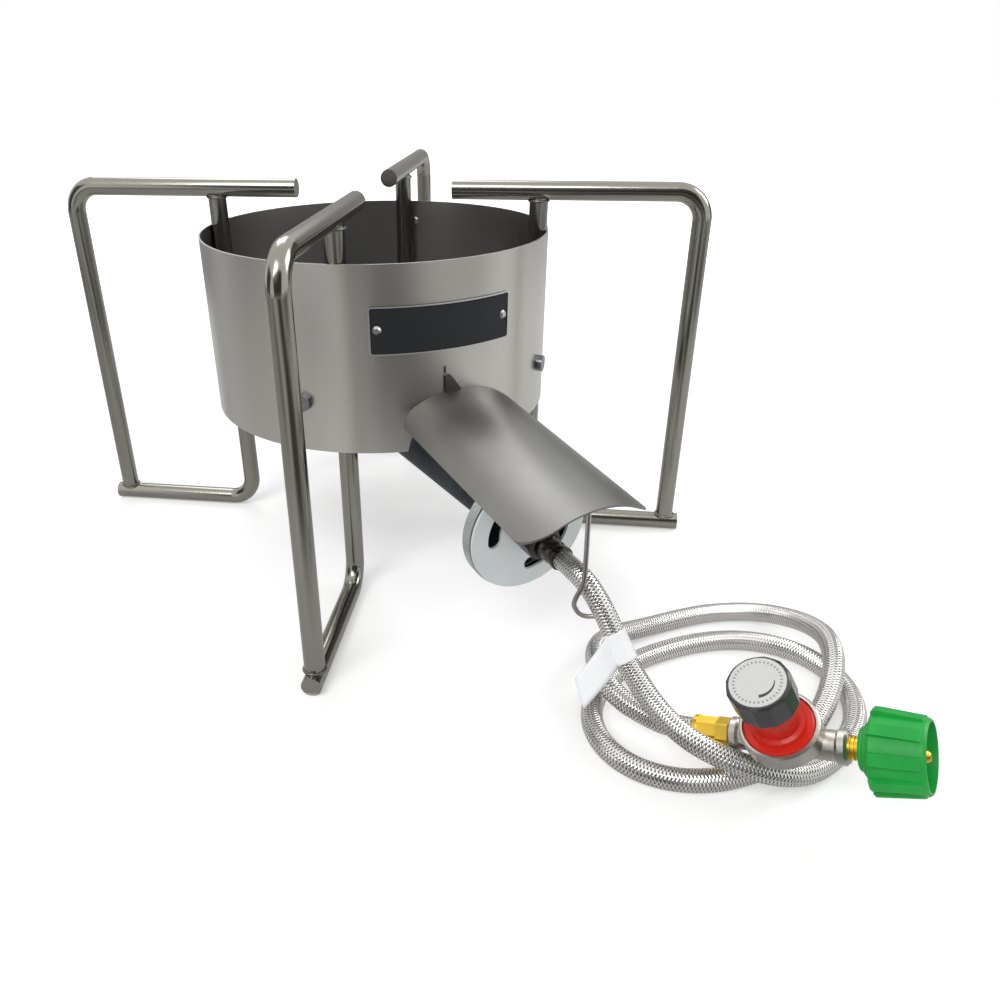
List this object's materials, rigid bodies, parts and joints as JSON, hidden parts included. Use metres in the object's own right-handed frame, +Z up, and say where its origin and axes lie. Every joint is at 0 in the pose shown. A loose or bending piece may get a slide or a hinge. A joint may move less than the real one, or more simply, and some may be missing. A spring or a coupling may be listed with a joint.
{
  "type": "outdoor propane cooker",
  "caption": "Low outdoor gas cooker: bent-rod stand with pot arms round a steel windscreen, cast burner with air shutter under a heat shield, braided hose and adjustable regulator.",
  "frame": {"origin": "on the floor under the windscreen's axis", "axes": "+Z up, -Y the way the burner's neck and hose leave, +X to the right seen from the hose side"},
  "size_m": [0.4018, 0.6541, 0.2711],
  "materials": {
    "rod_steel": "satin",
    "weld_steel": "rough",
    "sheet_steel": "brushed",
    "wire_steel": "satin",
    "plate_black": "satin with a bare metal rim",
    "rivet_alloy": "satin",
    "bracket_steel": "satin",
    "zinc_steel": "zinc plated",
    "cast_grey": "rough painted casting",
    "brass": "satin",
    "dark_fitting": "dark plated",
    "braid_steel": "braided wire",
    "tag_paper": "matt",
    "zinc_casting": "cast",
    "rubber": "matt",
    "red_paint": "hammered paint",
    "black_plastic": "fine grain",
    "label_white": "printed disc, left bare",
    "green_plastic": "moulded"
  },
  "bodies": {
    "cooker": {"pot_arm_front": "rod_steel", "pot_arm_right": "rod_steel", "pot_arm_back": "rod_steel", "pot_arm_left": "rod_steel", "foot_rod_front": "rod_steel", "foot_rod_right": "rod_steel", "foot_rod_back": "rod_steel", "foot_rod_left": "rod_steel", "weld_beads": "weld_steel", "windscreen": "sheet_steel", "heat_shield": "sheet_steel", "shield_tab": "sheet_steel", "hose_hook": "wire_steel", "nameplate": "plate_black", "nameplate_rivets": "rivet_alloy", "seam_rivets": "rivet_alloy", "burner_brackets": "bracket_steel", "bracket_bolts": "zinc_steel", "bracket_nuts": "zinc_steel", "lug_screws": "zinc_steel", "cap_bolt": "zinc_steel", "burner_casting": "cast_grey", "burner_cap": "cast_grey", "shutter_nut": "zinc_steel", "gas_spud": "brass", "gas_jet": "brass", "flare_nut": "dark_fitting", "burner_crimp": "zinc_steel", "hose": "braid_steel", "hose_tag": "tag_paper", "regulator_body": "zinc_casting", "diaphragm": "rubber", "spring_plate": "zinc_steel", "bonnet": "red_paint", "spring": "wire_steel", "outlet_hex": "brass", "outlet_crimp": "brass", "inlet_nipple": "brass"},
    "shutter": {"air_shutter": "zinc_steel"},
    "button": {"spring_button": "brass"},
    "knob": {"knob": "black_plastic", "knob_label": "label_white"},
    "nut": {"coupling_nut": "green_plastic"}
  },
  "joints": [
    {"name": "shutter_turn", "type": "hinge", "parent": "cooker", "child": "shutter", "pos_m": [0, -0.2171, 0.0885], "axis": [0, -0.9979, -0.0645], "range_deg": [-45, 45]},
    {"name": "button_travel", "type": "slide", "parent": "cooker", "child": "button", "axis": [-0.5128, 0.0579, 0.8565], "range_m": [0, 0.005]},
    {"name": "knob_turn", "type": "hinge", "parent": "button", "child": "knob", "pos_m": [0.02524, -0.38585, 0.07369], "axis": [-0.5128, 0.0579, 0.8565], "range_deg": [0, 1200]},
    {"name": "nut_turn", "type": "hinge", "parent": "cooker", "child": "nut", "pos_m": [0.07238, -0.43426, 0.05382], "axis": [0.4469, -0.8339, 0.3239], "continuous": true}
  ],
  "couplings": [
    {"joint": "knob_turn", "follows": "button_travel", "rad_per_m": 4188.7}
  ]
}
